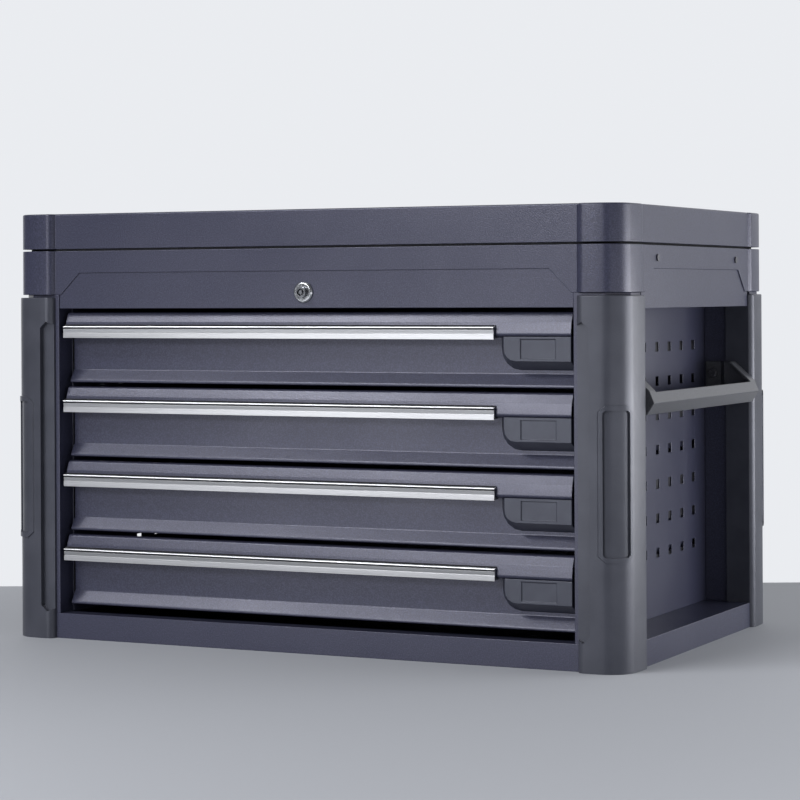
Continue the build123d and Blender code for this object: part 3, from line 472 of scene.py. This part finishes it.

# Grip strips
# Extruded aluminium clipped over each nose, brushed along its length and clear anodised: a lip,
# a groove, two bands that lean a little, and a foot. The clip leg and the groove carry a near-black
# painted shade.
grip_outline = [
    (0.0009, 0.0000), (0.0006, 0.0055), (0.0014, 0.0057), (0.0005, 0.0098), (0.0022, 0.0101),
    (0.0022, 0.0111), (0.0004, 0.0113), (0.0002, 0.0119), (0.0006, 0.0127), (0.0040, 0.0127),
    (0.0040, 0.0144), (0.0065, 0.0144), (0.0062, 0.0115), (0.0031, 0.0115), (0.0031, 0.0030),
    (0.0115, 0.0030), (0.0115, 0.0012), (0.0031, 0.0012), (0.0031, 0.0000),
]
grip_soft = 0.0003
grip_crisp = 0.0001
grip_rounding = [grip_soft] + [grip_crisp] * 6 + [grip_soft] * 2 + [grip_crisp] * 10
grip_steps = 3
clip_from = 0.0129
groove_depths = (0.0020, 0.0024)
groove_heights = (0.0101, 0.0111)
brushed_colour = (0.42, 0.422, 0.43)
brushed_dark = (0.36, 0.362, 0.37)
brushed_light = (0.48, 0.482, 0.49)
brushed_depth = 0.00004
brush_stretch = (6.0, 2600.0, 2600.0)
shade_colour = (0.012, 0.012, 0.015)

brushed = new_material("brushed_aluminium", brushed_colour, roughness=0.36, metallic=1.0)
brush_lines = pattern(brushed, 1.0, stretch=brush_stretch, detail=3.0)
two_colours(brushed, brush_lines, brushed_dark, brushed_light)
rough_between(brushed, brush_lines, low=0.30, high=0.42)
relief(brushed, brush_lines, brushed_depth)
clip_shade = new_material("clip_shade", shade_colour, roughness=0.7, specular=0.2)
rough_between(clip_shade, pattern(clip_shade, 400.0), low=0.6, high=0.8)

for number in drawer_numbers:
    node_name = f"drawer_{number}_grip_strip"
    low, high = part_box(node_name)
    placed = [(front_plane + y, low.z + z) for y, z in grip_outline]
    section = rounded_line(placed, grip_rounding, grip_steps, close=True)
    strip = drawn_bar(f"drawer_{number}_brushed_strip", section, low.x, high.x)
    strip.data.materials.append(brushed)
    strip.data.materials.append(clip_shade)
    # Facets of the clip leg and inside the groove get clip_shade, which is painted shade and not the
    # strip's own colour.
    for facet in strip.data.polygons:
        rise = facet.center.z - low.z
        set_back = facet.center.y - front_plane
        in_groove_height = groove_heights[0] < rise < groove_heights[1]
        in_groove = in_groove_height and groove_depths[0] < set_back < groove_depths[1]
        if rise > clip_from or in_groove:
            facet.material_index = 1
    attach(strip, f"drawer_{number}")
    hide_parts(node_name)

# Label holders
# Moulded grey plastic frames under the nose, bevelled down to the face, with a card window.
# Each is one moulding, fixed to the front beside the end of the grip strip.
label_colour = (0.024, 0.026, 0.038)
label_light = (0.031, 0.034, 0.047)
label_depth = 0.00007
label_radius = 0.0006
label_angle = 16.0
label_plastic = new_material("label_plastic", label_colour, roughness=0.38, sheen=plastic_sheen)
two_colours(label_plastic, pattern(label_plastic, 60.0, detail=4.0), label_colour, label_light)
relief(label_plastic, pattern(label_plastic, 1300.0), label_depth)
for number in drawer_numbers:
    finish(label_plastic, f"drawer_{number}_label_holder")
    round_edges(f"drawer_{number}_label_holder", label_radius, angle=label_angle)

# Side handles
# Each is one pressed sheet with a hollow grip and two arms, bolted to the posts.
# They are sprayed a finer grey than the cabinet; their lighter tone is partly painted highlight for the
# gloss on the grip.
handle_grey_and_highlight = (0.050, 0.051, 0.058)
# These greys sit above the handle's dark glossy paint, partly as painted highlight.
handle_dark = (0.044, 0.045, 0.052)
handle_light = (0.070, 0.072, 0.080)
handle_grain = 900.0
handle_depth = 0.00006
handle_radius = 0.0011
handle_paint = new_material("handle_paint", handle_grey_and_highlight, roughness=0.28)
handle_height = pattern(handle_paint, handle_grain)
two_colours(handle_paint, handle_height, handle_dark, handle_light, peak_start, peak_end)
relief(handle_paint, handle_height, handle_depth)
finish(handle_paint, "side_handle_left", "side_handle_right")
round_edges("side_handle_left", handle_radius)
round_edges("side_handle_right", handle_radius)

# Screws
# Socket screws on washers hold the handles, and small pan heads hold the collar.
# All are blackened steel.
screw_colour = (0.10, 0.10, 0.11)
screw_depth = 0.00003
screw_steel = new_material("screw_steel", screw_colour, roughness=0.34, metallic=0.8)
rough_between(screw_steel, pattern(screw_steel, 500.0, detail=4.0), low=0.26, high=0.46)
relief(screw_steel, pattern(screw_steel, 1500.0), screw_depth)
finish(screw_steel, "handle_screws", "collar_screws")

# Floor and screen
# A plain matt floor, and a pale screen behind the chest that only the camera and reflections see.
# The screen stands square to the camera, so its foot is the line between floor and background.
view_turn = radians(25.93)
view_roll = radians(0.28)
view_place = Vector((1.2324, -2.5239, 0.3724))
view_ahead = Vector((-sin(view_turn), cos(view_turn), 0.0))
view_right = Vector((cos(view_turn), sin(view_turn), 0.0))
floor_colour = (0.38, 0.391, 0.415)
floor_reach = 40
screen_colour = (0.823, 0.84, 0.873)
screen_depth = 3.233
screen_left = -0.9
screen_right = 0.62
screen_top = 1.4

floor_paint = new_material("floor_paint", floor_colour, roughness=0.7)
relief(floor_paint, pattern(floor_paint, 3.0), depth=0.0002, strength=0.2)
screen_glow = new_material("screen_glow", (0.0, 0.0, 0.0), roughness=1.0, specular=0.0)
screen_tree = screen_glow.node_tree
screen_shader = screen_tree.nodes["Principled BSDF"]
screen_shader.inputs["Emission Color"].default_value = (*screen_colour, 1.0)
screen_shader.inputs["Emission Strength"].default_value = 1.0
screen_side = screen_tree.nodes.new("ShaderNodeNewGeometry")
screen_front = screen_tree.nodes.new("ShaderNodeMath")
screen_front.operation = "SUBTRACT"
screen_front.inputs[0].default_value = 1.0
screen_tree.links.new(screen_side.outputs["Backfacing"], screen_front.inputs[1])
screen_tree.links.new(screen_front.outputs["Value"], screen_shader.inputs["Alpha"])


def stage_sheet(name, corners, material):
    """One flat surface of the studio."""
    mesh = bpy.data.meshes.new(name)
    mesh.from_pydata(corners, [], [(0, 1, 2, 3)])
    mesh.materials.append(material)
    sheet = bpy.data.objects.new(name, mesh)
    bpy.context.scene.collection.objects.link(sheet)
    return sheet


stage_sheet("floor", [
    (-floor_reach, -floor_reach, 0), (floor_reach, -floor_reach, 0),
    (floor_reach, floor_reach, 0), (-floor_reach, floor_reach, 0),
], floor_paint)
screen_foot = Vector((view_place.x, view_place.y, 0.0)) + view_ahead * screen_depth
screen_rise = Vector((0, 0, screen_top))
screen = stage_sheet("screen", [
    screen_foot + view_right * screen_left,
    screen_foot + view_right * screen_right,
    screen_foot + view_right * screen_right + screen_rise,
    screen_foot + view_right * screen_left + screen_rise,
], screen_glow)
screen.visible_diffuse = False
screen.visible_shadow = False

# Lamps and surround
# Two soft panels stand in front on the left, one behind on the right and a weak one above.
# Three flat reflectors near the floor lift the lower parts.
# The surround is dim in front and as bright as the screen behind.
surround_colour = (0.825, 0.84, 0.875)
surround_behind = (0.55, 0.835, 0.0)
surround_dim_until = 0.25
surround_full_from = 0.85
surround_dim = 0.24
lamp_colour = (0.96, 0.97, 1.0)
panels_face = Vector((0.0, 0.0, 0.25))

surround = bpy.data.worlds.new("surround")
bpy.context.scene.world = surround
surround.use_nodes = True
sky = surround.node_tree
sky.nodes["Background"].inputs["Color"].default_value = (*surround_colour, 1.0)
sky_place = sky.nodes.new("ShaderNodeTexCoord")
sky_towards = sky.nodes.new("ShaderNodeVectorMath")
sky_towards.operation = "DOT_PRODUCT"
sky_towards.inputs[1].default_value = surround_behind
sky_level = sky.nodes.new("ShaderNodeMapRange")
sky_level.inputs["From Min"].default_value = surround_dim_until
sky_level.inputs["From Max"].default_value = surround_full_from
sky_level.inputs["To Min"].default_value = surround_dim
sky_level.inputs["To Max"].default_value = 1.0
sky.links.new(sky_place.outputs["Generated"], sky_towards.inputs[0])
sky.links.new(sky_towards.outputs["Value"], sky_level.inputs["Value"])
sky.links.new(sky_level.outputs["Result"], sky.nodes["Background"].inputs["Strength"])


def soft_light(name, place, towards, width, height, power):
    """A rectangular soft light that faces a point."""
    light = bpy.data.lights.new(name, "AREA")
    light.shape = "RECTANGLE"
    light.size = width
    light.size_y = height
    light.energy = power
    light.color = lamp_colour
    lamp = bpy.data.objects.new(name, light)
    lamp.location = place
    lamp.rotation_euler = (Vector(towards) - Vector(place)).to_track_quat("-Z", "Y").to_euler()
    bpy.context.scene.collection.objects.link(lamp)


def soft_panel(name, azimuth, elevation, distance, width, height, power):
    """A far soft light; its azimuth counts from straight ahead of the chest's front."""
    turn, rise = radians(azimuth), radians(elevation)
    arm = Vector((sin(turn) * cos(rise), -cos(turn) * cos(rise), sin(rise))) * distance
    soft_light(name, panels_face + arm, panels_face, width, height, power)


soft_panel("low_front_panel", azimuth=-13, elevation=18, distance=3.3, width=1.05, height=0.58, power=45)
soft_panel("high_front_panel", azimuth=-34, elevation=39, distance=3.0, width=1.2, height=0.55, power=41)
soft_panel("right_panel", azimuth=112, elevation=14, distance=2.6, width=1.4, height=1.4, power=8)
soft_panel("top_panel", azimuth=30, elevation=82, distance=2.4, width=1.4, height=1.0, power=3)
soft_light("low_front_reflector", place=(-0.36, -1.35, 0.14), towards=(0.02, -0.2, 0.15),
           width=0.9, height=0.26, power=2.8)
soft_light("low_right_reflector", place=(1.3, -0.75, 0.22), towards=(0.35, 0.1, 0.2),
           width=1.4, height=0.4, power=3.0)
soft_light("low_side_reflector", place=(1.45, 0.5, 0.2), towards=(0.35, 0, 0.2),
           width=1.3, height=0.38, power=14)

# Camera
# It stands to the right in front of the chest, level, with a long lens and a shifted sensor, so
# that upright edges stay nearly upright.
camera = bpy.data.cameras.new("camera")
camera.lens = 113.9
camera.sensor_width = 36
camera.shift_y = -0.134
viewpoint = bpy.data.objects.new("camera", camera)
viewpoint.location = view_place
viewpoint.rotation_euler = (radians(90), view_roll, view_turn)
bpy.context.scene.collection.objects.link(viewpoint)
bpy.context.scene.camera = viewpoint
bpy.context.scene.view_settings.view_transform = "Standard"


bpy.context.view_layer.update()
